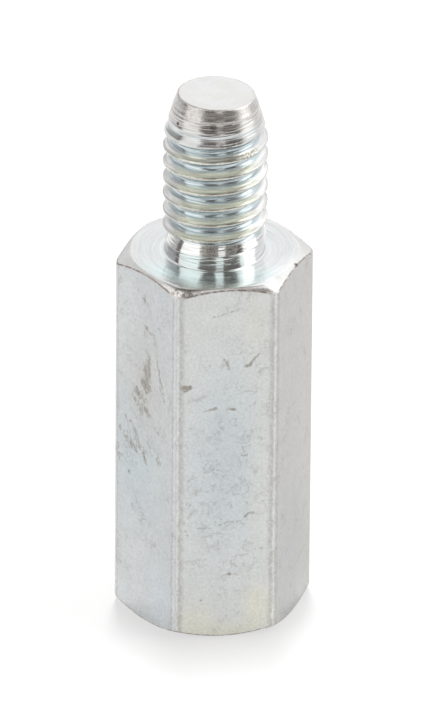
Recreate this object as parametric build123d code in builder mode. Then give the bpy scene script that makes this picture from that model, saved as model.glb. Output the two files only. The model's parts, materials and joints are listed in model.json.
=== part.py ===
"""Male to female hexagon screw spacer, turned from one length of hexagon bar.

The base stands on z = 0, the axis is Z and the stud points up. Two flats of the hexagon face +Y and -Y.
All lengths are millimetres and all angles degrees.
"""

from build123d import *

import os
from math import radians, tan

# Thread that both ends share: M5 coarse
thread_diameter = 5.0
thread_pitch = 0.8

# Hexagon bar
across_flats = 8.0
corner_radius = 0.6
body_length = 18.0

# Turned chamfers that break the hexagon's corners, measured inward from the flats
chamfer_angle = 30.0
base_chamfer_inset = 0.1
shoulder_chamfer_inset = 0.15

# Stud
stud_length = 8.0
crest_allowance = 0.15
crest_lead = 0.2
relief_length = 1.4
relief_depth = 0.36
relief_line_height = 0.8
relief_line_depth = 0.19
flare_reach = 0.02
flare_radius = 1.6
tip_taper_length = 2.1
tip_taper_depth = 0.65
tip_crown_radius = 20.0

# Tapped socket in the base
socket_depth = 12.0
drill_point_angle = 118.0
mouth_lead = 0.15
mouth_angle = 90.0

# Sizes that follow from the ones above
base_land_radius = across_flats / 2 - base_chamfer_inset
shoulder_land_radius = across_flats / 2 - shoulder_chamfer_inset
envelope_radius = across_flats
chamfer_slope = tan(radians(chamfer_angle))
base_chamfer_top = (envelope_radius - base_land_radius) * chamfer_slope
shoulder_chamfer_base = body_length - (envelope_radius - shoulder_land_radius) * chamfer_slope

crest_radius = (thread_diameter - crest_allowance) / 2
flare_base_radius = crest_radius + flare_reach
relief_line_radius = crest_radius - relief_line_depth
relief_radius = crest_radius - relief_depth
tip_radius = crest_radius - tip_taper_depth
relief_line = body_length + relief_line_height
relief_top = body_length + relief_length
crest_base = relief_top + crest_lead
tip_plane = body_length + stud_length
taper_base = tip_plane - tip_taper_length

socket_radius = (thread_diameter - thread_pitch) / 2
mouth_radius = thread_diameter / 2 + mouth_lead
mouth_depth = (mouth_radius - socket_radius) / tan(radians(mouth_angle / 2))
socket_end = socket_depth + socket_radius / tan(radians(drill_point_angle / 2))


with BuildPart() as spacer:
    # Hexagon bar with its drawn corners
    with BuildSketch() as bar_section:
        RegularPolygon(across_flats / 2, side_count=6, major_radius=False)
        fillet(bar_section.vertices(), corner_radius)
    extrude(amount=body_length)

    # Both ends are faced and chamfered in the lathe
    with BuildSketch(Plane.XZ) as turned_ends:
        with BuildLine():
            Polyline(
                (0, 0),
                (base_land_radius, 0),
                (envelope_radius, base_chamfer_top),
                (envelope_radius, shoulder_chamfer_base),
                (shoulder_land_radius, body_length),
                (0, body_length),
                close=True,
            )
        make_face()
    revolve(axis=Axis.Z, mode=Mode.INTERSECT)

    # Stud: flare off the shoulder, tapered relief, thread crests and a crowned taper up to the flat tip
    with BuildSketch(Plane.XZ) as stud_section:
        with BuildLine():
            Line((0, body_length), (flare_base_radius, body_length))
            RadiusArc((flare_base_radius, body_length), (relief_line_radius, relief_line), flare_radius)
            Polyline((relief_line_radius, relief_line), (relief_radius, relief_top), (crest_radius, crest_base))
            Line((crest_radius, crest_base), (crest_radius, taper_base))
            RadiusArc((crest_radius, taper_base), (tip_radius, tip_plane), -tip_crown_radius)
            Polyline((tip_radius, tip_plane), (0, tip_plane), (0, body_length))
        make_face()
    revolve(axis=Axis.Z)

    # Socket: countersunk mouth, tapping-drill wall and drill point
    with BuildSketch(Plane.XZ) as socket_section:
        with BuildLine():
            Polyline(
                (0, 0),
                (mouth_radius, 0),
                (socket_radius, mouth_depth),
                (socket_radius, socket_depth),
                (0, socket_end),
                close=True,
            )
        make_face()
    revolve(axis=Axis.Z, mode=Mode.SUBTRACT)

spacer.part.label = "hex_spacer"

os.makedirs("parts", exist_ok=True)
export_step(spacer.part, "parts/hex_spacer.step")
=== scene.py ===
"""Looks of the hexagon screw spacer: one closed mesh with both threads, its finishes and a plain studio.

Sizes are millimetres in the part's frame, with the base on z = 0 and the axis on Z. They turn into metres
only where Blender needs them. Directions round the axis are degrees, counted anticlockwise from +X as seen
from above.
"""

import json
from math import atan, cos, pi, radians, sin, sqrt, tan

import bpy
import numpy as np
from mathutils import Matrix, Vector


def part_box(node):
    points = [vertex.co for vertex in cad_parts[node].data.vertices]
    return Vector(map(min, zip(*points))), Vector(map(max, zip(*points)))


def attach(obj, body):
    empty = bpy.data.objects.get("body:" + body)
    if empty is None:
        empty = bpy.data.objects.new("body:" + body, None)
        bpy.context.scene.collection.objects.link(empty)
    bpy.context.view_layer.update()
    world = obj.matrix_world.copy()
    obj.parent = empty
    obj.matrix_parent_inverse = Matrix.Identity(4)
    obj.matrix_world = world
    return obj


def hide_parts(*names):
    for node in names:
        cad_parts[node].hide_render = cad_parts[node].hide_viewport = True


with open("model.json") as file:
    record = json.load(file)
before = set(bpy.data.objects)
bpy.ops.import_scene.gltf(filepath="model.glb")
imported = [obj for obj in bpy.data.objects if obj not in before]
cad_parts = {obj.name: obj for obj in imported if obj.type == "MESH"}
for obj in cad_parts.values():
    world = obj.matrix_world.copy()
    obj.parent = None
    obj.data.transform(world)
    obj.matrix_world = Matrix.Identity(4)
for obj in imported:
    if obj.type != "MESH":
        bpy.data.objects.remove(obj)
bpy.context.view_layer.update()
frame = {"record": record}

MM = 0.001

# Sizes that the frame gives
BOX_LOW, BOX_HIGH = (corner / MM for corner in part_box("hex_spacer"))
MOUNTS = {mount["name"]: mount for mount in frame["record"]["mounts"]}
ACROSS_FLATS = BOX_HIGH.y - BOX_LOW.y
TIP_Z = BOX_HIGH.z
BODY_LENGTH = MOUNTS["shoulder"]["pos_m"][2] / MM
CREST_RADIUS = MOUNTS["stud"]["dims"]["r_mm"]
TAPER_Z = MOUNTS["stud"]["pos_m"][2] / MM + MOUNTS["stud"]["dims"]["length_mm"] / 2
SOCKET_RADIUS = MOUNTS["socket"]["dims"]["r_mm"]
WALL_LENGTH = MOUNTS["socket"]["dims"]["length_mm"]

# Sizes that repeat the source
CORNER_RADIUS = 0.6
CHAMFER_SLOPE = tan(radians(30))
SHOULDER_INSET, BASE_INSET = 0.15, 0.1
RELIEF_HEIGHT, RELIEF_DEPTH = 0.8, 0.19
TIP_TAPER_DEPTH = 0.65
CROWN_RADIUS = 20.0
SOCKET_DEPTH = 12.0
POINT_HALF_ANGLE = 59
LAND_RADIUS = ACROSS_FLATS / 2 - SHOULDER_INSET
BASE_LAND_RADIUS = ACROSS_FLATS / 2 - BASE_INSET
NECK_TOP_Z = BODY_LENGTH + RELIEF_HEIGHT
NECK_RADIUS = CREST_RADIUS - RELIEF_DEPTH
TIP_RADIUS = CREST_RADIUS - TIP_TAPER_DEPTH
POINT_DEPTH = SOCKET_RADIUS / tan(radians(POINT_HALF_ANGLE))
MOUTH_RADIUS = SOCKET_RADIUS + SOCKET_DEPTH - WALL_LENGTH

# Small forms that only the looks have: the neck's foot, the rolled-off chamfer and the tip out of square
NECK_FLARE = 0.04
FOOT_REACH, FOOT_HEIGHT = 0.08, 0.06
FOOT_RADIUS = NECK_RADIUS + NECK_FLARE + FOOT_REACH
ROLL_OFF_SIDE, ROLL_OFF_FRONT = 1.0, 3.0
ROLL_OFF_FADE = (0.6, 0.85)
TIP_TILT = 0.05

# Thread: M5 coarse, right hand, with round crests and wide round roots
PITCH = 0.8
FLANK_ANGLE = radians(30)
FLANK_SLOPE = tan(FLANK_ANGLE)
CREST_HALF_WIDTH = 0.06
ROOT_RADIUS = 0.2
ROOT_HALF_WIDTH = ROOT_RADIUS * cos(FLANK_ANGLE)
CREST_DROP = CREST_HALF_WIDTH / FLANK_SLOPE / 2
FLANK_DROP = (PITCH / 2 - CREST_HALF_WIDTH - ROOT_HALF_WIDTH) / FLANK_SLOPE
THREAD_DEPTH = CREST_DROP + FLANK_DROP + ROOT_RADIUS * (1 - sin(FLANK_ANGLE))
CREST_AT_LEFT = 19.35
LEFT_OF_PICTURE = 171.4
ROLLED_RISE = 0.03
WORN = 0.04

# Heights where the stud's thread begins in the taper and runs out over the neck
THREAD_LOW, THREAD_HIGH = 18.3, 25.32
START_FADE = (23.9, 24.95)
FULL_CREST_Z = 19.3
GROOVE_END_Z = 19.2
RUN_OUT_FADE = (18.4, FULL_CREST_Z)
RUN_OUT_SLOPE = 0.5
RUN_OUT_SLOPE_FADE = (18.15, 18.5)

# Heights of the socket's thread
SOCKET_LOW, SOCKET_HIGH = 0.12, 10.7
SOCKET_CREST_Z = 0.3
SOCKET_FADE = (9.6, 10.6)

# Camera, fitted to the outline in the photograph
CAMERA_ELEVATION = 27.88
CAMERA_AZIMUTH = -8.62
CAMERA_ROLL = 0.455
CAMERA_DISTANCE = 650.0
PIXELS_PER_MM = 21.80
PICTURE = (437, 720)
AXIS_POINT_Z = 9.0
AXIS_POINT_PIXEL = (213.36, 423.0)

# Mesh steps: how many columns, rows or rings, and shares of the way across a form
FIRST_COLUMN = 90
FLAT_STEPS, CORNER_STEPS = 13, 10
STUD_ROWS, SOCKET_ROWS = (3, 3, 4), (1, 1, 1)
TAPER_RINGS, SHOULDER_RINGS, BASE_RINGS = 26, 40, 24
TIP_SHARES = (0.2, 0.45, 0.7, 0.88, 0.95)
CHAMFER_SHARES = (0.0, 0.15, 0.3, 0.45, 0.58, 0.7, 0.8, 0.88, 0.95)
FACED_SHARE = 0.6
FLAT_SHARES = (0.012, 0.04, 0.1, 0.2, 0.3, 0.4, 0.5, 0.6, 0.7, 0.8, 0.9, 0.96, 0.988)
BASE_CHAMFER_SHARES = (0.88, 0.5, 0.12, 0.0)
POINT_SHARES = (0.985, 0.8, 0.55, 0.3, 0.1)

# Places of single rings, and the margins that keep rings apart
TAPER_TOP_Z = TIP_Z - 0.2
TAPER_MARGIN = 0.02
NECK_RING_SPANS = ((18.28, 18.1, 8), (18.08, BODY_LENGTH + 0.008, 7))
FOOT_MARGIN = 0.01
LAND_MARGIN = 0.03
LAND_DROP = 0.001
MOUTH_MARGIN = 0.02
MOUTH_INSETS = (0.0, 0.02, 0.1, SOCKET_LOW)
WALL_HEIGHTS = (11.2, 11.7, SOCKET_DEPTH - 0.03)
HELIX_SNAP = 0.004

# Round edges: drop and inset at the tip, inset and drop at the hexagon's ends
TIP_EDGE = ((0.0, 0.05), (0.006, 0.03), (0.02, 0.01), (0.045, 0.0))
EDGE_INSET, EDGE_DROP = 0.03, 0.05
HEX_EDGE = ((EDGE_INSET, -0.0173), (0.012, 0.0), (0.003, 0.02), (0.0, EDGE_DROP))
BURR_SEED, BURR_HEIGHT = 7, 0.006

# Depth of the lathe's lines: period, start and share of each wave, and how deep they are on each form
TOOL_WAVES = ((0.145, 0.0, 0.4), (0.093, 1.1, 0.3), (0.31, 0.7, 0.3))
TAPER_LINES, NECK_LINES, FACE_LINES = 0.0008, 0.002, 0.0012

# Ridges left on the tip's taper: height up the axis, half width and how proud they stand
TAPER_RIDGES = ((25.44, 0.10, 0.014), (25.66, 0.05, 0.004))

# Edges sharper than this angle aren't shaded smooth
SHARP_ANGLE = 55

# Places of the finishes in the mesh's material list
DRAWN_BACK, DRAWN_LEFT, DRAWN_FRONT, DRAWN_RIGHT, TURNED, THREAD, TIP, CHAMFER, BURR = range(9)

# Middle and half angle of the drawn corners' arcs
ARC_CENTRE = (ACROSS_FLATS / 2 - CORNER_RADIUS) / cos(radians(30))
HALF_ARC = atan(CORNER_RADIUS * sin(radians(30)) / (ARC_CENTRE + CORNER_RADIUS * cos(radians(30))))


def column_angles():
    """Directions of the mesh columns, in radians: even along each flat and dense round each drawn corner."""
    flat_end = radians(30) - HALF_ARC
    half_flat = np.arctan(np.linspace(0, tan(flat_end), FLAT_STEPS, endpoint=False))
    arc = np.linspace(-HALF_ARC, HALF_ARC, CORNER_STEPS, endpoint=False)
    angles = []
    for k in range(6):
        face = radians(FIRST_COLUMN + 60 * k)
        corner = face + radians(30)
        next_face = face + radians(60)
        angles.extend(face + half_flat)
        angles.extend(corner + arc)
        angles.extend(next_face - np.append(flat_end, half_flat[:0:-1]))
    return np.array(angles)


def outline_radius(angles):
    """Distance from the axis to the round-cornered hexagon in each direction."""
    off_face = (angles - pi / 2 + pi / 6) % (pi / 3) - pi / 6
    off_corner = (angles + pi / 6) % (pi / 3) - pi / 6
    flat = ACROSS_FLATS / 2 / np.cos(off_face)
    reach = np.maximum(CORNER_RADIUS**2 - (ARC_CENTRE * np.sin(off_corner)) ** 2, 0)
    arc = ARC_CENTRE * np.cos(off_corner) + np.sqrt(reach)
    return np.where(np.abs(off_corner) < HALF_ARC, arc, flat)


ANGLES = column_angles()
COLUMNS = len(ANGLES)
TURNS = (ANGLES - ANGLES[0]) / (2 * pi)
OUTLINE = outline_radius(ANGLES)
BURR_WAVE = np.random.default_rng(BURR_SEED).normal(0, BURR_HEIGHT, COLUMNS)


def smooth_step(low, high, x):
    """0 below low, 1 above high and an even S between them."""
    t = np.clip((np.asarray(x, float) - low) / (high - low), 0, 1)
    return t * t * (3 - 2 * t)


def corner_distances():
    """Distance of each column from the middle of the nearest drawn corner, along the outline."""
    off = np.abs((ANGLES + pi / 6) % (pi / 3) - pi / 6)
    round_arc = CORNER_RADIUS * np.arctan2(OUTLINE * np.sin(off), OUTLINE * np.cos(off) - ARC_CENTRE)
    flat_end = ACROSS_FLATS / 2 * tan(pi / 6 - HALF_ARC)
    along_flat = flat_end - ACROSS_FLATS / 2 * np.tan(pi / 6 - off)
    return np.where(off < HALF_ARC, round_arc, CORNER_RADIUS * pi / 6 + along_flat)


def flat_slots():
    """Finish of each mesh column on the flats; the three flats in view have marks of their own."""
    by_face = {210: DRAWN_LEFT, 270: DRAWN_FRONT, 330: DRAWN_RIGHT}
    middles = ANGLES + np.diff(ANGLES, append=ANGLES[0] + 2 * pi) / 2
    faces = (np.round((np.degrees(middles) - 30) / 60) * 60 + 30) % 360
    return [by_face.get(int(round(face)), DRAWN_BACK) for face in faces]


CORNER_DISTANCES = corner_distances()
FLAT_SLOTS = flat_slots()


class Skin:
    """Collects the one closed mesh ring by ring, from the tip down the outside and up into the socket.

    Each point also keeps what the materials read: its distance along the turned profile or from a thread's
    crest, its depth in a thread groove and its distance from the nearest drawn corner.
    """

    def __init__(self):
        self.points = []
        self.faces = []
        self.slots = []
        self.profile = []
        self.groove = []
        self.corner = []
        self.travelled = 0.0
        self.last = (0.0, TIP_Z)
        self.edge = []

    def point(self, place, profile, groove):
        self.points.append(place)
        self.profile.append(profile)
        self.groove.append(groove)
        self.corner.append(1.0)
        return len(self.points) - 1

    def pole(self, z):
        return [self.point((0.0, 0.0, z), self.travelled, 0.0)] * COLUMNS

    def ring(self, radius, z):
        radius = np.broadcast_to(np.asarray(radius, float), ANGLES.shape)
        z = np.broadcast_to(np.asarray(z, float), ANGLES.shape)
        place = (float(radius.mean()), float(z.mean()))
        self.travelled += sqrt((place[0] - self.last[0]) ** 2 + (place[1] - self.last[1]) ** 2)
        self.last = place
        first = len(self.points)
        self.points.extend(zip(radius * np.cos(ANGLES), radius * np.sin(ANGLES), z))
        self.profile.extend(self.travelled + radius - place[0])
        self.groove.extend([0.0] * COLUMNS)
        self.corner.extend(CORNER_DISTANCES)
        return list(range(first, first + COLUMNS))

    def face(self, corners, slot):
        kept = [c for i, c in enumerate(corners) if c != corners[i - 1]]
        if len(set(kept)) > 2:
            self.faces.append(kept)
            self.slots.append(slot)

    def bridge(self, upper, lower, slot):
        """Joins two rings; upper comes first on the way from the tip to the socket's end."""
        slots = [slot] * COLUMNS if isinstance(slot, int) else slot
        for j in range(COLUMNS):
            k = (j + 1) % COLUMNS
            self.face((upper[j], lower[j], lower[k], upper[k]), slots[j])

    def step(self, radius, z, slot):
        """Goes on from the open edge to a new ring."""
        ring = self.ring(radius, z)
        self.bridge(self.edge, ring, slot)
        self.edge = ring

    def helix(self, low_ring, high_ring, low, high, rows, crest_z, radius, slot, inside=False):
        """Fills the stretch between two plain rings with rows that follow the thread."""
        count = len(rows)
        turns = int((high - low) / PITCH) + 3
        start = crest_z - PITCH * np.ceil((crest_z - low) / PITCH + 1)
        table = []
        for j in range(COLUMNS):
            column = []
            for turn in range(turns + 1):
                for row in rows:
                    z = start + (turn + row + TURNS[j]) * PITCH
                    if z < low + HELIX_SNAP:
                        column.append(low_ring[j])
                    elif z > high - HELIX_SNAP:
                        column.append(high_ring[j])
                    else:
                        r = radius(z, row)
                        place = (r * cos(ANGLES[j]), r * sin(ANGLES[j]), z)
                        groove = groove_depth(row) / THREAD_DEPTH
                        column.append(self.point(place, PITCH * min(row, 1 - row), groove))
            table.append(column + [high_ring[j]] * (2 * count))
        for j in range(COLUMNS):
            k, shift = (j + 1, 0) if j + 1 < COLUMNS else (0, count)
            for q in range((turns + 1) * count):
                corners = (table[j][q], table[k][q + shift], table[k][q + shift + 1], table[j][q + 1])
                self.face(corners[::-1] if inside else corners, slot)


def thread_rows(crest_steps, flank_steps, root_steps):
    """Places of the mesh rows in one pitch, from a crest: round crest, both flanks and round root."""
    crest_end = CREST_HALF_WIDTH / PITCH
    root_start = 0.5 - ROOT_HALF_WIDTH / PITCH
    half = list(np.linspace(0, crest_end, crest_steps, endpoint=False))
    half += list(np.linspace(crest_end, root_start, flank_steps, endpoint=False))
    half += list(np.linspace(root_start, 0.5, root_steps, endpoint=False))
    return half + [0.5] + [1 - row for row in half[:0:-1]]


def groove_depth(row):
    """Depth of the groove at a place in the pitch."""
    off_crest = PITCH * min(row % 1, 1 - row % 1)
    off_root = PITCH / 2 - off_crest
    if off_crest < CREST_HALF_WIDTH:
        return CREST_DROP * (off_crest / CREST_HALF_WIDTH) ** 2
    if off_root < ROOT_HALF_WIDTH:
        return THREAD_DEPTH - ROOT_RADIUS + sqrt(ROOT_RADIUS**2 - off_root**2)
    return CREST_DROP + (off_crest - CREST_HALF_WIDTH) / FLANK_SLOPE


def taper_envelope(z):
    """Radius of the crowned taper at the tip and of the crests below it, a little worn."""
    if z <= TAPER_Z:
        return CREST_RADIUS - WORN
    chord = sqrt((TIP_Z - TAPER_Z) ** 2 + (CREST_RADIUS - TIP_RADIUS) ** 2)
    along = (z - TAPER_Z) / (TIP_Z - TAPER_Z)
    bulge = CROWN_RADIUS - sqrt(CROWN_RADIUS**2 - (chord / 2) ** 2)
    return CREST_RADIUS - WORN + (TIP_RADIUS - CREST_RADIUS) * along + bulge * 4 * along * (1 - along)


def neck_radius(z):
    """Radius of the neck under the thread, which flares into the shoulder."""
    share = max(NECK_TOP_Z - z, 0) / (NECK_TOP_Z - BODY_LENGTH)
    foot = max(BODY_LENGTH + FOOT_HEIGHT - z, 0) / FOOT_HEIGHT
    return NECK_RADIUS + NECK_FLARE * share**4 + FOOT_REACH * foot**2


def stud_radius(z, row):
    """Radius of the threaded stud; the thread starts in the taper and runs out over the neck."""
    groove = groove_depth(row)
    taper = taper_envelope(z)
    below = z - PITCH * row
    above = below + PITCH
    if below > FULL_CREST_Z:
        rolled = CREST_RADIUS - WORN + ROLLED_RISE * (1 - groove / THREAD_DEPTH) - groove
        shallow = float(smooth_step(*START_FADE, z))
        return min(rolled, taper) * (1 - shallow) + taper * shallow
    neck = neck_radius(z)
    low_crest = neck + (taper - neck) * float(smooth_step(*RUN_OUT_FADE, below))
    high_crest = neck + (taper - neck) * float(smooth_step(*RUN_OUT_FADE, above))
    slope = RUN_OUT_SLOPE * float(smooth_step(*RUN_OUT_SLOPE_FADE, below))
    from_low = low_crest - max(slope * (z - below), groove if below > GROOVE_END_Z else 0)
    from_high = high_crest - groove if row > 0.5 else 0
    return max(from_low, from_high, CREST_RADIUS - THREAD_DEPTH)


def socket_radius(z, row):
    """Radius of the tapped wall; the thread is cut away by the mouth and fades out above the drill point."""
    fade = float(1 - smooth_step(*SOCKET_FADE, z))
    return max(SOCKET_RADIUS + (THREAD_DEPTH - groove_depth(row)) * fade, MOUTH_RADIUS - z)


def tool_lines(distance):
    """Uneven fine lines that a lathe leaves, about -1 to 1 along the profile."""
    return sum(share * cos(2 * pi * distance / period + start) for period, start, share in TOOL_WAVES)


def taper_radius(z):
    """Radius of the turned taper above the thread, with its ridges."""
    proud = 0.0
    for middle, half, height in TAPER_RIDGES:
        if abs(z - middle) < half:
            proud += height * (1 + cos(pi * (z - middle) / half)) / 2
    return taper_envelope(z) + proud + TAPER_LINES * tool_lines(z)


def add_tip(skin):
    """Tip face, a little out of square, its small round edge and the crowned taper with turning rings."""
    lean = np.cos(ANGLES - radians(CAMERA_AZIMUTH))
    skin.edge = skin.pole(TIP_Z - TIP_TILT)
    for share in TIP_SHARES:
        skin.step(TIP_RADIUS * share, TIP_Z - TIP_TILT * (1 + share * lean), TIP)
    for drop, inset in TIP_EDGE:
        rim = TIP_Z - drop - TIP_TILT * (1 + lean)
        skin.step(np.array([taper_envelope(z) for z in rim]) - inset, rim, TIP)
    for z in np.linspace(TAPER_TOP_Z, THREAD_HIGH + TAPER_MARGIN, TAPER_RINGS):
        skin.step(taper_radius(z), z, TURNED)


def add_thread(skin):
    """Stud's thread, from the taper to the neck."""
    crest_z = CREST_AT_LEFT + PITCH * (FIRST_COLUMN - LEFT_OF_PICTURE) / 360
    skin.step(taper_envelope(THREAD_HIGH), THREAD_HIGH, TURNED)
    neck = skin.ring(neck_radius(THREAD_LOW), THREAD_LOW)
    rows = thread_rows(*STUD_ROWS)
    skin.helix(neck, skin.edge, THREAD_LOW, THREAD_HIGH, rows, crest_z, stud_radius, THREAD)
    skin.edge = neck


def add_shoulder(skin):
    """Flare of the neck, and the faced shoulder with its turning rings."""
    for start, end, count in NECK_RING_SPANS:
        for z in np.linspace(start, end, count):
            skin.step(neck_radius(z) + NECK_LINES * tool_lines(z), z, TURNED)
    for r in np.linspace(FOOT_RADIUS + FOOT_MARGIN, LAND_RADIUS - LAND_MARGIN, SHOULDER_RINGS):
        skin.step(r, BODY_LENGTH - FACE_LINES * (1 + tool_lines(r)), TURNED)


def add_body(skin):
    """Chamfer, burred edge and flats, then the base's edge, chamfer and faced land."""
    rim = OUTLINE - EDGE_INSET - LAND_RADIUS
    front = smooth_step(*ROLL_OFF_FADE, np.cos(ANGLES - radians(CAMERA_AZIMUTH - 90)))
    roll_off = ROLL_OFF_SIDE + (ROLL_OFF_FRONT - ROLL_OFF_SIDE) * front
    for share in CHAMFER_SHARES:
        faced = np.where(front > 0.5, share < FACED_SHARE, share == 0)
        z = BODY_LENGTH - LAND_DROP - rim * CHAMFER_SLOPE * share**roll_off
        skin.step(LAND_RADIUS + rim * share, z, np.where(faced, TURNED, CHAMFER).tolist())
    edge = BODY_LENGTH - (OUTLINE - LAND_RADIUS) * CHAMFER_SLOPE
    for inset, drop in HEX_EDGE:
        skin.step(OUTLINE - inset, edge - drop + BURR_WAVE, BURR)
    base_edge = (OUTLINE - BASE_LAND_RADIUS) * CHAMFER_SLOPE
    flat_top, flat_bottom = edge - EDGE_DROP, base_edge + EDGE_DROP
    for share in FLAT_SHARES:
        skin.step(OUTLINE, flat_top + (flat_bottom - flat_top) * share, FLAT_SLOTS)
    for inset, drop in reversed(HEX_EDGE):
        skin.step(OUTLINE - inset, base_edge + drop, BURR if inset else FLAT_SLOTS)
    base_rim = OUTLINE - EDGE_INSET - BASE_LAND_RADIUS
    for share in BASE_CHAMFER_SHARES:
        skin.step(BASE_LAND_RADIUS + base_rim * share, base_rim * share * CHAMFER_SLOPE, CHAMFER)
    for r in np.linspace(BASE_LAND_RADIUS - LAND_MARGIN, MOUTH_RADIUS + MOUTH_MARGIN, BASE_RINGS):
        skin.step(r, FACE_LINES * (1 + tool_lines(r)), TURNED)


def add_socket(skin):
    """Countersunk mouth, tapped wall and drill point."""
    for inset in MOUTH_INSETS:
        skin.step(MOUTH_RADIUS - inset, inset, TURNED)
    top = skin.ring(SOCKET_RADIUS, SOCKET_HIGH)
    rows = thread_rows(*SOCKET_ROWS)
    skin.helix(
        skin.edge, top, SOCKET_LOW, SOCKET_HIGH, rows, SOCKET_CREST_Z, socket_radius, TURNED, inside=True
    )
    skin.edge = top
    for z in WALL_HEIGHTS:
        skin.step(SOCKET_RADIUS, z, TURNED)
    for share in POINT_SHARES:
        skin.step(SOCKET_RADIUS * share, SOCKET_DEPTH + POINT_DEPTH * (1 - share), TURNED)
    skin.bridge(skin.edge, skin.pole(SOCKET_DEPTH + POINT_DEPTH), TURNED)


def build_skin():
    """The whole spacer as one closed skin."""
    skin = Skin()
    for add in (add_tip, add_thread, add_shoulder, add_body, add_socket):
        add(skin)
    return skin


class Net:
    """A node tree with short calls for the nodes used here."""

    def __init__(self, tree):
        self.tree = tree
        self.tree.nodes.clear()

    def node(self, kind, inputs=None, **settings):
        made = self.tree.nodes.new(kind)
        for key, value in settings.items():
            setattr(made, key, value)
        for key, value in (inputs or {}).items():
            if isinstance(value, bpy.types.NodeSocket):
                self.tree.links.new(value, made.inputs[key])
            else:
                made.inputs[key].default_value = value
        return made

    def math(self, operation, a, b=0.0, c=0.0, clamp=False):
        made = self.node("ShaderNodeMath", {0: a, 1: b, 2: c}, operation=operation, use_clamp=clamp)
        return made.outputs[0]

    def times(self, a, b):
        return self.math("MULTIPLY", a, b)

    def times_plus(self, a, b, c):
        return self.math("MULTIPLY_ADD", a, b, c)

    def larger(self, a, b):
        return self.math("MAXIMUM", a, b)

    def off(self, value, middle):
        """How far a value lies from a middle, on either side."""
        return self.math("ABSOLUTE", self.math("SUBTRACT", value, middle))

    def vector(self, operation, a, b=(0.0, 0.0, 0.0)):
        made = self.node("ShaderNodeVectorMath", {0: a, 1: b}, operation=operation)
        return made.outputs["Value" if operation in ("DOT_PRODUCT", "LENGTH", "DISTANCE") else "Vector"]

    def dot(self, a, b):
        return self.vector("DOT_PRODUCT", a, b)

    def off_axis(self, place):
        """Distance of a place from the spacer's axis."""
        return self.vector("LENGTH", self.vector("MULTIPLY", place, (1.0, 1.0, 0.0)))

    def scale(self, vector, factor):
        made = self.node("ShaderNodeVectorMath", {0: vector, "Scale": factor}, operation="SCALE")
        return made.outputs["Vector"]

    def noise(self, place, scale, detail=2.0, roughness=0.5, distortion=0.0):
        inputs = {"Vector": place, "Scale": scale, "Detail": detail, "Roughness": roughness}
        inputs["Distortion"] = distortion
        return self.node("ShaderNodeTexNoise", inputs).outputs["Fac"]

    def span(self, value, low, high, to_low=0.0, to_high=1.0):
        """Maps low..high to to_low..to_high along an even S; low may be the larger."""
        if low > high:
            low, high, to_low, to_high = high, low, to_high, to_low
        inputs = {"Value": value, "From Min": low, "From Max": high, "To Min": to_low, "To Max": to_high}
        made = self.node("ShaderNodeMapRange", inputs, interpolation_type="SMOOTHSTEP")
        return made.outputs["Result"]

    def mix(self, share, a, b, blend="MIX"):
        inputs = {0: share, 6: a, 7: b}
        return self.node("ShaderNodeMix", inputs, data_type="RGBA", blend_type=blend).outputs[2]

    def shaded(self, colour, shade):
        """A colour made lighter or darker by a number."""
        return self.mix(1.0, colour, self.joined(shade, shade, shade), "MULTIPLY")

    def attribute(self, name):
        return self.node("ShaderNodeAttribute", attribute_name=name).outputs["Fac"]

    def place(self):
        """Place on the spacer, in millimetres."""
        return self.scale(self.node("ShaderNodeTexCoord").outputs["Object"], 1 / MM)

    def parts(self, vector):
        return self.node("ShaderNodeSeparateXYZ", {0: vector}).outputs

    def joined(self, x, y, z=0.0):
        return self.node("ShaderNodeCombineXYZ", {0: x, 1: y, 2: z}).outputs[0]


def new_material(name):
    material = bpy.data.materials.new(name)
    material.use_nodes = True
    return material, Net(material.node_tree)


def finish_metal(net, colour, roughness, height, height_mm, anisotropy=0.0):
    """Metal shader with a bump of the given height; anisotropy spreads reflections across turning lines."""
    bump = net.node("ShaderNodeBump", {"Height": height, "Strength": 1.0, "Distance": height_mm * MM})
    inputs = {"Base Color": colour, "Metallic": 1.0, "Roughness": roughness, "Anisotropic": anisotropy}
    inputs["Normal"] = bump.outputs["Normal"]
    if anisotropy:
        tangent = net.node("ShaderNodeTangent", direction_type="RADIAL", axis="Z")
        inputs["Tangent"] = tangent.outputs["Tangent"]
        inputs["Anisotropic Rotation"] = 0.25
    shader = net.node("ShaderNodeBsdfPrincipled", inputs)
    net.node("ShaderNodeOutputMaterial", {"Surface": shader.outputs["BSDF"]})


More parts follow.
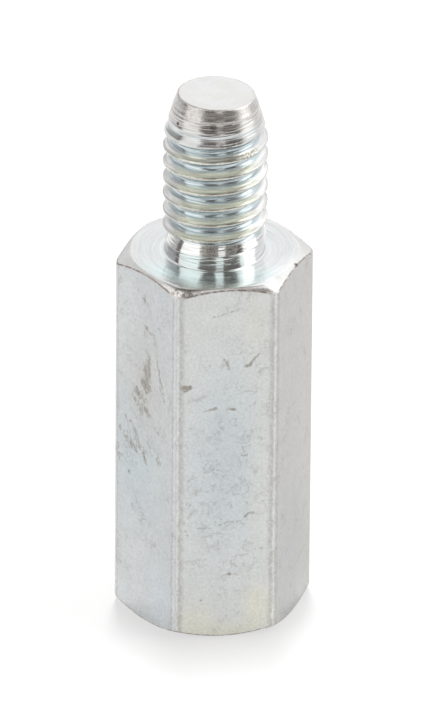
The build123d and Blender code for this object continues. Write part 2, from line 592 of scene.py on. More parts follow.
# Marks on the flats that face the camera: start and end as millimetres right of the flat's middle and up
# from the base, then half width and strength
SCUFFS_LEFT = (
    (-0.45, 16.95, -0.05, 16.65, 0.09, 0.6), (-0.3, 16.75, -0.05, 16.6, 0.08, 0.8),
    (0.15, 16.45, 0.35, 16.2, 0.06, 0.5), (0.3, 16.0, 0.4, 15.85, 0.08, 0.3),
    (0.02, 15.28, 0.38, 15.05, 0.09, 0.8), (0.0, 14.95, 0.04, 14.75, 0.1, 0.6),
    (0.6, 15.2, 0.8, 14.55, 0.08, 0.6), (0.76, 14.55, 0.95, 13.4, 0.07, 0.5),
    (0.95, 13.6, 1.3, 12.3, 0.07, 0.75), (1.1, 12.6, 1.42, 12.0, 0.07, 0.6),
    (0.1, 14.05, 0.3, 13.6, 0.08, 0.5), (0.28, 13.85, 0.32, 12.8, 0.09, 0.75),
    (0.0, 13.05, 0.28, 12.55, 0.13, 0.75), (-0.1, 12.35, 0.12, 12.05, 0.15, 0.9),
    (0.1, 12.7, 0.36, 12.2, 0.12, 0.65), (-0.65, 13.0, -0.4, 12.7, 0.12, 0.4),
    (-0.72, 11.85, -0.52, 11.6, 0.12, 0.95), (-0.9, 11.95, -0.8, 11.4, 0.08, 0.5),
    (-0.85, 11.4, -0.25, 10.7, 0.1, 0.6), (-0.3, 11.5, 0.1, 11.45, 0.1, 0.5),
    (-0.4, 10.95, 0.3, 10.95, 0.12, 0.5), (0.0, 11.0, 0.3, 10.8, 0.12, 0.75),
    (-0.6, 10.35, 0.2, 10.3, 0.12, 0.35), (-1.45, 10.15, -1.2, 9.85, 0.06, 0.6),
    (-1.05, 10.0, -0.5, 9.3, 0.07, 0.75), (-1.9, 9.35, -0.6, 8.6, 0.08, 0.7),
    (-1.45, 9.05, -1.0, 8.7, 0.12, 0.6), (-0.45, 9.0, 0.0, 8.75, 0.17, 0.65),
    (-0.75, 8.8, -0.5, 8.55, 0.1, 0.5), (-0.1, 8.65, 0.15, 8.25, 0.12, 0.8),
    (-2.05, 8.35, -1.95, 7.8, 0.12, 0.65), (-1.95, 8.0, -1.35, 7.85, 0.08, 0.65),
    (0.65, 10.35, 1.0, 10.1, 0.06, 0.6), (1.2, 10.4, 1.5, 10.1, 0.14, 0.4),
    (1.3, 9.95, 1.55, 10.0, 0.1, 0.4), (0.85, 9.15, 0.95, 9.05, 0.13, 0.5),
    (0.97, 8.8, 1.02, 8.7, 0.11, 0.7), (-1.18, 7.36, -1.14, 7.31, 0.05, 0.9),
    (-0.3, 10.2, 0.4, 9.6, 0.3, 0.22), (-0.1, 12.9, 0.8, 12.1, 0.4, 0.18),
)
MARKS_FRONT = (
    (-2.05, 13.05, -1.72, 13.05, 0.13, 1.0), (-1.95, 12.92, -1.85, 12.92, 0.12, 0.8),
    (-1.02, 11.82, -0.72, 11.86, 0.06, 0.6), (-0.72, 11.86, -0.48, 11.9, 0.08, 0.85),
    (0.06, 11.8, 0.2, 11.86, 0.06, 0.6), (0.2, 11.83, 0.42, 11.76, 0.075, 0.8),
    (0.92, 13.95, 1.45, 14.55, 0.07, 0.8), (0.92, 13.98, 1.05, 14.05, 0.1, 0.85),
    (-0.12, 14.38, 0.02, 14.2, 0.08, 0.7), (0.0, 14.2, 0.09, 13.9, 0.07, 0.7),
    (-0.66, 16.57, 0.58, 16.92, 0.06, 0.5), (-1.45, 14.75, -1.2, 14.65, 0.06, 0.35),
    (0.78, 9.85, 0.86, 9.4, 0.05, 0.5), (0.72, 9.42, 0.98, 9.4, 0.06, 0.6),
    (0.85, 9.82, 1.28, 9.96, 0.05, 0.4), (-0.62, 8.75, -0.3, 8.7, 0.07, 0.55),
    (-0.58, 8.6, -0.42, 8.5, 0.06, 0.45), (-0.35, 8.8, 0.05, 8.3, 0.05, 0.3),
    (0.1, 8.1, 0.35, 7.4, 0.05, 0.35), (0.5, 7.45, 0.95, 7.15, 0.05, 0.35),
    (0.88, 6.22, 1.05, 6.36, 0.07, 0.8), (1.02, 6.36, 1.28, 6.42, 0.06, 0.7),
    (-0.28, 5.84, 0.1, 5.98, 0.05, 0.55), (0.1, 5.98, 0.68, 6.0, 0.05, 0.5),
    (-1.2, 6.55, -1.05, 5.75, 0.05, 0.3), (-1.25, 5.75, -0.92, 5.72, 0.06, 0.55),
    (-1.1, 5.27, -0.62, 5.32, 0.05, 0.5), (-1.95, 5.8, -1.75, 5.4, 0.06, 0.4),
    (-0.1, 7.2, 0.3, 6.75, 0.05, 0.3), (0.13, 3.26, 0.19, 3.26, 0.09, 0.8),
    (0.46, 3.25, 0.52, 3.24, 0.08, 0.6), (-1.13, 2.0, -1.08, 2.0, 0.08, 0.7),
    (1.38, 4.47, 1.46, 4.49, 0.08, 0.5), (1.6, 4.49, 1.72, 4.5, 0.07, 0.5),
    (-1.9, 15.1, -1.85, 14.7, 0.06, 0.45), (-1.8, 7.0, -1.65, 6.95, 0.08, 0.45),
)
MARKS_RIGHT = (
    (1.73, 2.85, 0.6, 2.5, 0.07, 0.45), (0.6, 2.5, -0.05, 2.25, 0.06, 0.4),
    (-1.95, 7.97, -1.88, 7.97, 0.09, 0.6), (-0.75, 15.0, -0.55, 14.95, 0.09, 0.4),
)

# Shares of a mark's squared width and of a spot's reach at full strength, and a mark's least squared length
MARK_CORE, SPOT_CORE = 0.05, 0.35
SHORTEST_MARK = 1e-6

# How much of the scuffs' uneven grain a mark and a smear bring up, and how strong a smear is beside a mark
MARK_COVER, SMEAR_COVER = 0.37, 0.08
SMEAR_STRENGTH = 0.6


def flat_axes(direction):
    """Outward normal of a flat and the direction to its right, as seen from outside."""
    a = radians(direction)
    return Vector((cos(a), sin(a), 0)), Vector((-sin(a), cos(a), 0))


def stroke(net, x, z, mark, spread):
    """Strength of one straight mark on a flat, 0 away from it."""
    x0, z0, x1, z1, width, strength = mark
    along_x, along_z = x1 - x0, z1 - z0
    length = max(along_x**2 + along_z**2, SHORTEST_MARK)
    from_x, from_z = net.math("SUBTRACT", x, x0), net.math("SUBTRACT", z, z0)
    share = net.times(from_x, along_x / length)
    share = net.math("MULTIPLY_ADD", from_z, along_z / length, share, clamp=True)
    off_x = net.times_plus(share, -along_x, from_x)
    off_z = net.times_plus(share, -along_z, from_z)
    off = net.times_plus(off_z, off_z, net.times(off_x, off_x))
    return net.span(off, (spread * width) ** 2, MARK_CORE * width**2, 0.0, strength)


def strokes(net, place, direction, marks, shake, spread):
    """Strength of all the marks on one flat, drawn a little unsteadily."""
    right = flat_axes(direction)[1]
    inputs = {"Vector": place, "Scale": 3.5, "Detail": 4.0, "Roughness": 0.65}
    wander = net.node("ShaderNodeTexNoise", inputs).outputs["Color"]
    wander_x, wander_z = net.parts(wander)[:2]
    x = net.times_plus(wander_x, shake, net.dot(place, right))
    z = net.times_plus(wander_z, shake, net.parts(place)[2])
    x, z = net.math("SUBTRACT", x, shake / 2), net.math("SUBTRACT", z, shake / 2)
    total = stroke(net, x, z, marks[0], spread)
    for mark in marks[1:]:
        total = net.larger(total, stroke(net, x, z, mark, spread))
    return total


def soft_patch(net, place, direction, x, z, wide, high):
    """1 in the middle of a soft round patch on one flat, fading to 0."""
    normal, right = flat_axes(direction)
    centre = normal * (ACROSS_FLATS / 2) + right * x + Vector((0, 0, z))
    off = net.vector("SUBTRACT", place, centre)
    across = net.math("DIVIDE", net.dot(off, right), wide)
    up = net.math("DIVIDE", net.parts(off)[2], high)
    inward = net.dot(off, normal)
    return net.span(net.vector("LENGTH", net.joined(across, up, inward)), 1.0, 0.1)


def spot(net, place, angle, radius, z, reach):
    """1 at a point of the spacer's surface, fading to 0 at the reach."""
    a = radians(angle)
    point = (radius * cos(a), radius * sin(a), z)
    return net.span(net.vector("DISTANCE", place, point), reach, reach * SPOT_CORE)


# Colours on the drawn flats: tints of the plate, some of them also painted light low on the flats, then the
# hairlines, the dirt and the corners' two lines of painted reflection and burnishing
BLUE_TINT = (0.555, 0.61, 0.635, 1)
STRAW_TINT = (0.705, 0.70, 0.605, 1)
PALE_TINT = (0.65, 0.67, 0.67, 1)
WARM_TINT = (0.58, 0.565, 0.54, 1)
HAIRLINE = (0.33, 0.325, 0.32, 1)
DARK_DIRT = (0.21, 0.185, 0.15, 1)
PALE_DIRT = (0.33, 0.30, 0.26, 1)
# Painted reflection and burnishing by the die: the bright and dull lines along the drawn corners
BRIGHT_CORNER = (0.76, 0.76, 0.755, 1)
DULL_CORNER = (0.43, 0.415, 0.40, 1)

# The drawn flats: name, direction, colour, tints, marks, how far the marks wander and how widely they fade,
# smears and corner lines. A tint is its place on the flat, reach across and up, colour and strength. A smear
# is its place and reach. The corner lines are distances from the corner's middle: the bright line, then
# where the dull one starts, is strongest and ends
DRAWN_FLATS = (
    (
        "drawn_back", 90, (0.57, 0.585, 0.585, 1),
        ((0.0, 8.0, 3.0, 6.0, BLUE_TINT, 0.5),),
        (), 0.0, 1.0, (),
        (0.05, 0.08, 0.2, 0.36),
    ),
    (
        "drawn_left", 210, (0.58, 0.60, 0.605, 1),
        (
            (-0.6, 8.0, 2.6, 5.0, BLUE_TINT, 0.75),
            (-1.6, 15.5, 1.8, 5.0, PALE_TINT, 0.6),
            (0.0, 12.0, 2.2, 4.5, (0.55, 0.55, 0.535, 1), 0.6),
            # Painted light: this pale patch lightens the flat low down, against the floor's shadow that it
            # mirrors
            (-1.2, 2.6, 3.2, 4.0, PALE_TINT, 0.7),
            (1.1, 1.8, 1.5, 3.2, (0.62, 0.66, 0.68, 1), 0.8),
        ),
        SCUFFS_LEFT, 0.36, 1.9,
        ((0.1, 13.0, 0.6, 1.5), (-0.2, 11.3, 0.8, 1.2), (-1.0, 9.1, 1.1, 1.2)),
        (0.14, 0.19, 0.24, 0.31),
    ),
    (
        "drawn_front", 270, (0.655, 0.67, 0.66, 1),
        (
            (-0.1, 9.0, 2.7, 8.5, BLUE_TINT, 0.75),
            (1.7, 8.0, 0.9, 6.0, (0.67, 0.68, 0.65, 1), 0.7),
            (1.4, 16.2, 1.2, 2.4, (0.67, 0.67, 0.625, 1), 0.7),
            # The straw tint low on the flat is the plate's, made paler as painted light against the mirrored
            # floor shadow
            (1.6, 1.4, 1.3, 2.0, STRAW_TINT, 0.8),
            (0.4, 0.0, 2.4, 1.3, STRAW_TINT, 0.8),
            (-1.4, 0.5, 1.6, 2.0, STRAW_TINT, 0.8),
        ),
        MARKS_FRONT, 0.14, 1.4, (),
        (0.0, 0.03, 0.14, 0.42),
    ),
    (
        "drawn_right", 330, (0.54, 0.537, 0.525, 1),
        ((1.4, 11.0, 1.2, 8.0, WARM_TINT, 0.6), (-0.6, 3.6, 2.6, 5.5, (0.50, 0.512, 0.51, 1), 0.7)),
        MARKS_RIGHT, 0.14, 1.4, (),
        (0.0, 0.08, 0.16, 0.26),
    ),
)

# Hairlines: scale and shift of each noise, and the two patches of the front flat that have most of them
HAIR_NOISES = ((1.2, 0.0), (1.9, 7.0), (2.6, 13.0))
HAIR_LOW = (270, 0.0, 7.4, 3.2, 5.0)
HAIR_HIGH = (270, 0.3, 12.8, 2.4, 3.2)


def hairlines(net, place):
    """Strength of the hairlines in the plate: short bent pieces, most of them low on the front flat."""
    hair = 0.0
    for scale, offset in HAIR_NOISES:
        shifted = net.vector("ADD", place, (offset, offset, offset))
        line = net.span(net.off(net.noise(shifted, scale, 3.0, 0.5, 0.6), 0.5), 0.036, 0.006)
        piece = net.span(net.noise(shifted, 2.2, 2.0), 0.47, 0.58)
        hair = net.larger(hair, net.times(line, piece))
    low = soft_patch(net, place, *HAIR_LOW)
    zone = net.times_plus(soft_patch(net, place, *HAIR_HIGH), 0.6, low)
    groups = net.times_plus(zone, 0.2, net.noise(place, 0.8, 2.0))
    return net.times(hair, net.span(groups, 0.49, 0.67, 0.06, 1.0))


def scuffs(net, place, broken, direction, marks, shake, spread, smears):
    """Strength of a flat's marks and smears, broken up by an uneven grain, and of a few loose specks."""
    loose = net.span(broken, 0.70, 0.78, 0.0, 0.5)
    if not marks:
        return loose
    inside = strokes(net, place, direction, marks, shake, spread)
    scuff = net.times_plus(inside, MARK_COVER / spread, broken)
    for area in smears:
        smear = soft_patch(net, place, direction, *area)
        inside = net.larger(inside, net.times(smear, SMEAR_STRENGTH))
        scuff = net.times_plus(smear, SMEAR_COVER, scuff)
    scuff = net.span(scuff, 0.57, 0.70)
    return net.larger(loose, net.times(scuff, net.math("POWER", inside, 0.7)))


def corner_reflection_and_burnish(net, place, broken, bright_at, dull_from, dull_at, dull_to):
    """Strengths of the bright line and the dull one along a drawn corner, both uneven: painted reflection
    bands that also stand for the die's burnishing.
    """
    uneven = net.math("SUBTRACT", net.noise(place, 3.4, 4.0, 0.7), 0.5)
    rough_low = net.span(net.parts(place)[2], 12.0, 4.0, 0.26, 0.55)
    corner = net.times_plus(uneven, rough_low, net.attribute("corner_mm"))
    bright = net.span(corner, bright_at - 0.07, bright_at)
    bright = net.times(bright, net.span(corner, bright_at + 0.06, bright_at))
    dull = net.times(net.span(corner, dull_from, dull_at), net.span(corner, dull_to, dull_at))
    dull = net.times(dull, net.span(broken, 0.36, 0.6, 0.4, 1.0))
    bright = net.times(bright, net.span(net.noise(place, 2.4, 3.0), 0.35, 0.6, 0.35, 1.2))
    return bright, dull


def drawn_zinc(name, direction, base, tints, marks, shake, spread, smears, corner_lines):
    """Dull plate on a drawn flat: faint tints, grain, hairlines, scuffs, painted light towards the base and
    corner lines of painted reflection and burnishing by the die.
    """
    material, net = new_material(name)
    place = net.place()
    grain = net.noise(place, 7.0, 4.0, 0.7)
    colour = base
    for *area, tint, strength in tints:
        patch = net.times(soft_patch(net, place, direction, *area), strength)
        colour = net.mix(patch, colour, tint)
    colour = net.mix(net.times(hairlines(net, place), 0.42), colour, HAIRLINE)
    broken = net.noise(net.vector("MULTIPLY", place, (1.0, 1.0, 0.55)), 8.5, 5.0, 0.75)
    scuffed = scuffs(net, place, broken, direction, marks, shake, spread, smears)
    dirt = net.mix(net.span(grain, 0.4, 0.6), DARK_DIRT, PALE_DIRT)
    colour = net.mix(net.times(scuffed, 0.82), colour, dirt)
    # Painted reflection: bright and dull bands along the corners, partly the die's burnishing
    bright, dull = corner_reflection_and_burnish(net, place, broken, *corner_lines)
    colour = net.mix(net.times(bright, 0.35), colour, BRIGHT_CORNER)
    colour = net.mix(net.times(dull, 0.8), colour, DULL_CORNER)
    clouding = net.span(net.noise(place, 1.3, 3.0, 0.6), 0.3, 0.7, -0.025, 0.025)
    shade = net.math("ADD", net.span(grain, 0.25, 0.75, 0.89, 1.11), clouding)
    # Painted light: the flats are lighter towards the base, against the floor's shadow that they mirror
    shade = net.times(shade, net.span(net.parts(place)[2], 2.6, 0.2, 1.0, 1.1))
    colour = net.shaded(colour, shade)
    roughness = net.span(grain, 0.3, 0.7, 0.36, 0.46)
    finish_metal(net, colour, roughness, grain, 0.004)
    return material


# Colours of the turned faces, with a painted reflection of the neck and a painted lighter side, and of the
# taper's stains and painted dark reflection
FACED = (0.79, 0.797, 0.80, 1)
FACED_LIT = (0.94, 0.945, 0.95, 1)
# Painted reflection: the neck's blue-green reflection on the shoulder, in front
NECK_REFLECTION = (0.76, 0.90, 0.90, 1)
TAPER_PLATE = (0.64, 0.63, 0.61, 1)
TAPER_STAIN = (0.42, 0.37, 0.33, 1)
TAPER_DARK_REFLECTION = (0.25, 0.22, 0.20, 1)

# Spots of painted dark reflection in front: direction, distance from the axis, height and reach
DARK_REFLECTION_HIGH = (266.5, 1.87, 25.6, 0.3)
DARK_REFLECTION_LOW = (258.5, 1.99, 25.2, 0.22)


def turned_zinc():
    """Bright plate on the turned faces: fine rings, a painted blue-green reflection of the neck on the
    shoulder, a painted lighter side to the front right, a browner taper and spots of painted dark
    reflection.
    """
    material, net = new_material("turned_zinc")
    place = net.place()
    x, y, z = net.parts(place)
    along = net.attribute("profile_mm")
    drift = net.joined(along, net.times(x, 0.05), net.times(y, 0.05))
    rings = net.noise(drift, 12.0, 3.0, 0.7)
    wide_rings = net.noise(drift, 3.2, 2.0, 0.6)
    speckle = net.noise(place, 7.0, 4.0, 0.7)
    radius = net.off_axis(place)
    taper = net.span(z, 24.0, 24.6)
    # Painted reflection of the neck: blue-green on the shoulder near it, strongest in front
    neck_reflection = net.times(net.span(radius, 4.1, 3.2), net.span(z, 18.06, 18.01))
    near = net.dot(place, towards(-5, 0))
    neck_reflection = net.times(neck_reflection, net.span(near, 1.2, 2.7, 0.12, 1.0))
    lit = net.span(net.dot(place, towards(32, 0)), 1.9, 3.5)
    colour = net.mix(lit, FACED, FACED_LIT)
    colour = net.mix(neck_reflection, colour, NECK_REFLECTION)
    colour = net.mix(taper, colour, TAPER_PLATE)
    stain = net.times(net.span(speckle, 0.42, 0.68), net.times(taper, 0.55))
    colour = net.mix(stain, colour, TAPER_STAIN)
    shade = net.span(wide_rings, 0.3, 0.7, 0.92, 1.05)
    shade = net.times(shade, net.span(rings, 0.3, 0.7, 0.93, 1.06))
    colour = net.shaded(colour, shade)
    # Painted dark reflection: two dark spots on the front of the taper
    dark_reflection = net.larger(spot(net, place, *DARK_REFLECTION_HIGH), spot(net, place, *DARK_REFLECTION_LOW))
    colour = net.mix(net.times(dark_reflection, 0.8), colour, TAPER_DARK_REFLECTION)
    dull = net.times(taper, net.span(speckle, 0.3, 0.7, 0.08, 0.16))
    roughness = net.math("ADD", net.span(rings, 0.3, 0.7, 0.13, 0.20), dull)
    height = net.times_plus(rings, 0.5, wide_rings)
    height = net.times(height, net.times_plus(taper, 0.7, 0.5))
    height = net.times_plus(net.times(taper, speckle), 0.6, height)
    finish_metal(net, colour, roughness, height, 0.006, 0.8)
    return material


# Colours of the thread, partly painted reflection and shade on the flanks in front and in the roots, of the
# wear and stains on it and of painted dark reflection on its start and run-out
FLANK = (0.91, 0.91, 0.905, 1)
FRONT_FLANK = (0.73, 0.745, 0.67, 1)
ROOT = (0.61, 0.69, 0.72, 1)
WORN_CREST = (0.36, 0.31, 0.28, 1)
START_CREST = (0.68, 0.67, 0.65, 1)
START_PLATE = (0.66, 0.675, 0.67, 1)
START_SPOT = (0.12, 0.09, 0.07, 1)
THREAD_DARK_REFLECTION = (0.27, 0.24, 0.22, 1)
THREAD_STAIN = (0.24, 0.20, 0.165, 1)
RUN_OUT_PLATE = (0.84, 0.85, 0.84, 1)
RUN_OUT_DARK_REFLECTION = (0.36, 0.35, 0.29, 1)
NECK_LINE = (0.30, 0.30, 0.28, 1)

# Spots and smears at the thread's start: direction, distance from the axis, height and reach
START_SPOT_AT = (205.8, 2.08, 24.99, 0.12)
SMEAR_FRONT = (276, 2.2, 24.5, 0.95)
SMEAR_RIGHT = (303, 2.35, 23.85, 0.7)

# Columns of painted dark reflection on the run-out, broken up by speckle: distance to the right of the
# picture's middle and reach
RUN_OUT_DARK_COLUMNS = ((-0.28, 0.44), (0.78, 0.32))
NECK_LINE_Z = 18.52


def thread_zinc():
    """Rolled thread: brownish crests, darker straw flanks in front and darker blue-grey roots that are
    partly painted reflection and shade, a dull start and painted dark reflection.
    """
    material, net = new_material("thread_zinc")
    place = net.place()
    x, y, z = net.parts(place)
    groove = net.attribute("groove")
    speckle = net.noise(place, 8.0, 4.0, 0.7)
    # Flanks, roots and crests
    # Flanks in front are darker and straw-coloured: the plate's tint and painted reflection
    front = net.span(net.dot(place, towards(0, 0)), 1.0, 1.5)
    # Roots are darker and blue-grey: the plate's tint and painted shade in the grooves
    colour = net.mix(net.span(groove, 0.5, 0.8), net.mix(front, FLANK, FRONT_FLANK), ROOT)
    crest = net.times(net.span(groove, 0.16, 0.04), net.span(speckle, 0.38, 0.56))
    colour = net.mix(net.times(crest, 0.42), colour, WORN_CREST)
    # Start of the thread, as dull as the taper, with its spots and smears and a spot of painted dark
    # reflection
    start = net.span(z, 23.95, 24.3)
    colour = net.mix(net.times(start, net.span(groove, 0.75, 0.6)), colour, START_CREST)
    colour = net.mix(net.times(start, 0.8), colour, START_PLATE)
    colour = net.mix(net.span(z, 24.7, 24.95), colour, TAPER_PLATE)
    colour = net.mix(spot(net, place, *START_SPOT_AT), colour, START_SPOT)
    # Painted dark reflection, as on the taper
    colour = net.mix(net.times(spot(net, place, *DARK_REFLECTION_LOW), 0.75), colour, THREAD_DARK_REFLECTION)
    smear = net.times(spot(net, place, *SMEAR_FRONT), net.span(z, 24.15, 24.3))
    smear = net.larger(smear, spot(net, place, *SMEAR_RIGHT))
    stained = net.times(smear, net.span(speckle, 0.44, 0.6))
    stained = net.times(stained, net.span(groove, 0.7, 0.3))
    colour = net.mix(net.times(stained, 0.8), colour, THREAD_STAIN)
    # Run-out over the neck, with columns of painted dark reflection and a dark line
    low = net.span(z, 19.3, 19.1)
    colour = net.mix(low, colour, RUN_OUT_PLATE)
    aside = net.dot(place, towards(90, 0))
    dark_column_masks = [net.span(net.off(aside, at), reach, reach - 0.1) for at, reach in RUN_OUT_DARK_COLUMNS]
    dark_columns = net.times(low, net.span(z, 18.68, 18.8))
    dark_columns = net.times(dark_columns, net.larger(*dark_column_masks))
    colour = net.mix(net.times(dark_columns, net.span(speckle, 0.42, 0.62)), colour, RUN_OUT_DARK_REFLECTION)
    line = net.span(net.off(z, NECK_LINE_Z), 0.035, 0.012)
    line = net.times(line, net.span(net.math("ABSOLUTE", aside), 1.3, 0.9, 0.0, 0.6))
    colour = net.mix(line, colour, NECK_LINE)
    # Fine lines along the thread
    across = net.attribute("profile_mm")
    drift = net.times_plus(x, 0.04, net.times(z, 0.25))
    lines = net.noise(net.joined(across, drift, net.times(y, 0.04)), 14.0, 0.0)
    colour = net.shaded(colour, net.span(lines, 0.32, 0.68, 0.84, 1.06))
    roughness = net.span(speckle, 0.3, 0.7, 0.21, 0.27)
    roughness = net.times(roughness, net.span(low, 0.0, 1.0, 1.0, 0.62))
    roughness = net.math("ADD", roughness, net.times(dark_columns, net.span(speckle, 0.4, 0.6, 0.1, 0.35)))
    rolled = net.times(lines, net.span(groove, 0.4, 0.8, 0.3, 1.0))
    rolled = net.times(rolled, net.span(low, 0.0, 1.0, 1.0, 0.4))
    finish_metal(net, colour, roughness, rolled, 0.04, 0.5)
    return material


# Colours of the tip face
TIP_YELLOWISH = (0.88, 0.875, 0.855, 1)
TIP_PALE = (0.91, 0.915, 0.92, 1)
TIP_RIM = (0.46, 0.40, 0.37, 1)


def tip_zinc():
    """Matte tip face, yellowish in places, with a thin brown rim."""
    material, net = new_material("tip_zinc")
    place = net.place()
    grain = net.noise(place, 6.0, 4.0, 0.65)
    cloud = net.noise(place, 1.2, 3.0)
    colour = net.mix(net.span(cloud, 0.35, 0.65), TIP_YELLOWISH, TIP_PALE)
    colour = net.shaded(colour, net.span(grain, 0.3, 0.7, 0.96, 1.03))
    radius = net.off_axis(place)
    rim = net.span(radius, TIP_RADIUS - 0.16, TIP_RADIUS - 0.03)
    rim = net.times(rim, net.span(grain, 0.38, 0.62, 0.15, 0.75))
    away = net.dot(place, towards(75, 0))
    rim = net.times(rim, net.span(away, 0.6, 1.5, 1.0, 0.4))
    colour = net.mix(rim, colour, TIP_RIM)
    roughness = net.span(grain, 0.3, 0.7, 0.36, 0.46)
    finish_metal(net, colour, roughness, grain, 0.003)
    return material


# Colours of the chamfers and of the burr between chamfer and flats
CHAMFER_PLATE = (0.90, 0.90, 0.895, 1)
CHAMFER_DIRT_AND_SHADE = (0.30, 0.265, 0.235, 1)
CHAMFER_NICK = (0.22, 0.18, 0.16, 1)
BURR_BROWN = (0.38, 0.335, 0.305, 1)
BURR_BARE = (0.76, 0.74, 0.72, 1)
BURR_NICK = (0.20, 0.16, 0.14, 1)

# Dirt with painted shade, nick and rubbed corners: direction, distance from the axis, height and reach
DIRT_AND_SHADE_CORNER = (243, 4.4, 17.7, 1.1)
NICK = (331, 4.0, 17.92)
CHAMFER_NICK_REACH, BURR_NICK_REACH = 0.2, 0.22
RUBBED_LEFT = (239, 4.5, 17.6, 0.6)
RUBBED_RIGHT = (299.5, 4.5, 17.6, 0.35)


def chamfer_zinc():
    """Turned chamfers: bright, with brown dirt and painted shade at the left-front corner and a nick on the
    right.
    """
    material, net = new_material("chamfer_zinc")
    place = net.place()
    speckle = net.noise(place, 6.0, 4.0, 0.75)
    # Brown dirt and painted shade: speckled dark at the left-front corner, faint all round
    dirt_and_shade = net.times_plus(spot(net, place, *DIRT_AND_SHADE_CORNER), 0.8, 0.12)
    dirt = net.times(net.span(speckle, 0.40, 0.60), dirt_and_shade)
    colour = net.mix(dirt, CHAMFER_PLATE, CHAMFER_DIRT_AND_SHADE)
    colour = net.mix(spot(net, place, *NICK, CHAMFER_NICK_REACH), colour, CHAMFER_NICK)
    roughness = net.span(speckle, 0.3, 0.7, 0.24, 0.36)
    finish_metal(net, colour, roughness, speckle, 0.007)
    return material


def burr_zinc():
    """Burr along the hexagon's top edge: brownish, with bright specks and two rubbed corners."""
    material, net = new_material("burr_zinc")
    place = net.place()
    speckle = net.noise(place, 5.0, 4.0, 0.75)
    rubbed = net.larger(spot(net, place, *RUBBED_LEFT), spot(net, place, *RUBBED_RIGHT))
    bare = net.larger(net.span(speckle, 0.44, 0.64), net.times(rubbed, 0.9))
    colour = net.mix(bare, BURR_BROWN, BURR_BARE)
    colour = net.mix(spot(net, place, *NICK, BURR_NICK_REACH), colour, BURR_NICK)
    roughness = net.span(speckle, 0.3, 0.7, 0.35, 0.5)
    finish_metal(net, colour, roughness, speckle, 0.025)
    return material


def dressed_spacer():
    """The spacer's one visible piece, with its finishes and what they read."""
    skin = build_skin()
    mesh = bpy.data.meshes.new("spacer_skin")
    mesh.from_pydata([Vector(p) * MM for p in skin.points], [], skin.faces)
    mesh.update()
    for name, values in (("profile_mm", skin.profile), ("groove", skin.groove), ("corner_mm", skin.corner)):
        mesh.attributes.new(name, "FLOAT", "POINT").data.foreach_set("value", values)
    for flat in DRAWN_FLATS:
        mesh.materials.append(drawn_zinc(*flat))
    for material in (turned_zinc(), thread_zinc(), tip_zinc(), chamfer_zinc(), burr_zinc()):
        mesh.materials.append(material)
    mesh.polygons.foreach_set("material_index", skin.slots)
    mesh.shade_smooth()
    mesh.set_sharp_from_angle(angle=radians(SHARP_ANGLE))
    spacer = bpy.data.objects.new("spacer_skin", mesh)
    bpy.context.scene.collection.objects.link(spacer)
    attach(spacer, "root")
    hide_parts("hex_spacer")


def place_camera():
    """Puts the camera where the axis point falls on its pixel, with the picture's small lean."""
    a, lean = radians(CAMERA_AZIMUTH), radians(CAMERA_ROLL)
    back = towards(0, CAMERA_ELEVATION)
    level_right = Vector((cos(a), sin(a), 0))
    level_up = back.cross(level_right)
    right = level_right * cos(lean) + level_up * sin(lean)
    up = back.cross(right)
    across = (PICTURE[0] / 2 - AXIS_POINT_PIXEL[0]) / PIXELS_PER_MM
    raised = (AXIS_POINT_PIXEL[1] - PICTURE[1] / 2) / PIXELS_PER_MM
    aim = Vector((0, 0, AXIS_POINT_Z)) + right * across + up * raised
    data = bpy.data.cameras.new("camera")
    data.sensor_width = 36
    data.lens = PIXELS_PER_MM * CAMERA_DISTANCE * data.sensor_width / max(PICTURE)
    data.clip_start, data.clip_end = 0.01, 10
    camera = bpy.data.objects.new("camera", data)
    turned = Matrix((right, up, back)).transposed().to_4x4()
    camera.matrix_world = Matrix.Translation((aim + back * CAMERA_DISTANCE) * MM) @ turned
    bpy.context.scene.collection.objects.link(camera)
    bpy.context.scene.camera = camera


def towards(angle_from_camera, elevation):
    """Unit vector from the spacer at an angle to the right of the camera's direction and at an elevation."""
    a, e = radians(CAMERA_AZIMUTH + angle_from_camera), radians(elevation)
    return Vector((sin(a) * cos(e), -cos(a) * cos(e), sin(e)))


# Lamps: name, angle to the right of the camera, elevation, width and height in degrees, and radiance
SOFTBOXES = (
    ("softbox_left", -63, 30, 50, 75, 1.1),
    ("strip_front", 12, 42, 16, 50, 0.95),
    ("softbox_right", 83, 30, 42, 75, 1.0),
)
SHADOW_LAMP = ("shadow_lamp", 180, 83, 4, 14, 130.0)
LAMP_DISTANCE = 500.0
LAMP_AIM_Z = 13.0

# Floor's half width, own glow and colour, and the colours of the room
FLOOR_HALF = 3000.0
FLOOR_GLOW = 0.5
FLOOR_COLOUR = (0.4, 0.4, 0.4, 1)
DARK_ROOM = (0.15, 0.13, 0.12, 1)
WHITE = (1.0, 1.0, 1.0, 1)


def softbox(name, angle, elevation, width, height, radiance):
    """Soft rectangular lamp that faces the spacer; width and height are in degrees as seen from it."""
    data = bpy.data.lights.new(name, "AREA")
    data.shape = "RECTANGLE"
    data.size = 2 * LAMP_DISTANCE * tan(radians(width / 2)) * MM
    data.size_y = 2 * LAMP_DISTANCE * tan(radians(height / 2)) * MM
    data.energy = radiance * pi * data.size * data.size_y
    lamp = bpy.data.objects.new(name, data)
    out = towards(angle, elevation)
    lamp.location = out * LAMP_DISTANCE * MM + Vector((0, 0, LAMP_AIM_Z * MM))
    lamp.rotation_euler = out.to_track_quat("Z", "Y").to_euler()
    bpy.context.scene.collection.objects.link(lamp)
    return lamp


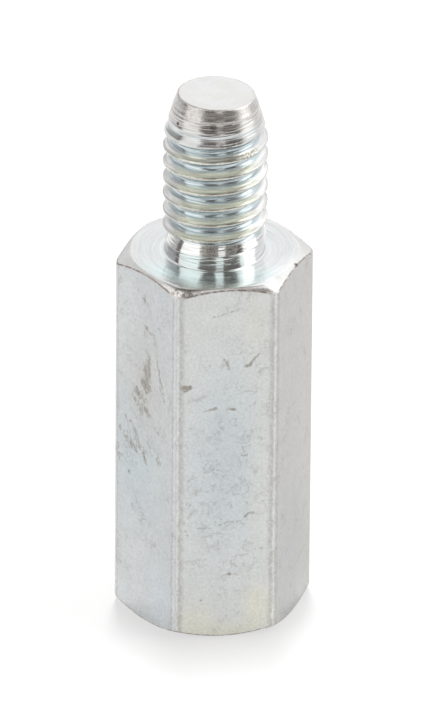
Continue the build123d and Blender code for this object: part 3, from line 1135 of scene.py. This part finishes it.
def floor():
    """Pale floor that shows white, also in the metal, and keeps the spacer's soft shadow."""
    half = FLOOR_HALF * MM
    corners = [(-half, -half, 0), (half, -half, 0), (half, half, 0), (-half, half, 0)]
    mesh = bpy.data.meshes.new("floor")
    mesh.from_pydata(corners, [], [(0, 1, 2, 3)])
    plane = bpy.data.objects.new("floor", mesh)
    bpy.context.scene.collection.objects.link(plane)
    material, net = new_material("floor_white")
    path = net.node("ShaderNodeLightPath").outputs
    mirrored = net.larger(path["Is Glossy Ray"], path["Is Transmission Ray"])
    glow = net.times(net.larger(path["Is Camera Ray"], mirrored), FLOOR_GLOW)
    emission = net.node("ShaderNodeEmission", {"Color": WHITE, "Strength": glow})
    diffuse = net.node("ShaderNodeBsdfDiffuse", {"Color": FLOOR_COLOUR})
    both = net.node("ShaderNodeAddShader", {0: emission.outputs[0], 1: diffuse.outputs[0]})
    net.node("ShaderNodeOutputMaterial", {"Surface": both.outputs[0]})
    mesh.materials.append(material)


def studio_world():
    """White wall behind the spacer, higher on the right and dim at the left back, in a dark room."""
    world = bpy.data.worlds.new("studio")
    world.use_nodes = True
    bpy.context.scene.world = world
    net = Net(world.node_tree)
    direction = net.node("ShaderNodeTexCoord").outputs["Generated"]
    rightward = net.dot(direction, towards(90, 0))
    behind = net.dot(direction, towards(180, 0))
    right_side = net.larger(rightward, 0.0)
    behind = net.times_plus(right_side, 0.5, behind)
    up = net.parts(direction)[2]
    top = net.times_plus(right_side, 0.15, net.times_plus(rightward, 0.1, 0.86))
    over_top = net.math("SUBTRACT", up, top)
    wall = net.times(net.span(behind, 0.12, 0.24), net.span(over_top, 0.06, -0.06))
    level = net.times(net.span(up, 0.05, 0.4, 0.68, 1.0), net.span(rightward, -0.8, 0.3, 0.72, 1.08))
    left_back = net.times(net.span(rightward, -0.48, -0.62), net.span(up, 0.72, 0.58))
    left_back = net.times(left_back, net.span(up, 0.2, 0.36))
    level = net.times(level, net.span(left_back, 0.0, 1.0, 1.0, 0.62))
    colour = net.mix(wall, DARK_ROOM, net.shaded(WHITE, level))
    background = net.node("ShaderNodeBackground", {"Color": colour, "Strength": 1.0})
    net.node("ShaderNodeOutputWorld", {"Surface": background.outputs[0]})


place_camera()
dressed_spacer()
floor()
studio_world()
for lamp in SOFTBOXES:
    softbox(*lamp)
softbox(*SHADOW_LAMP).visible_glossy = False
bpy.context.scene.view_settings.view_transform = "Standard"
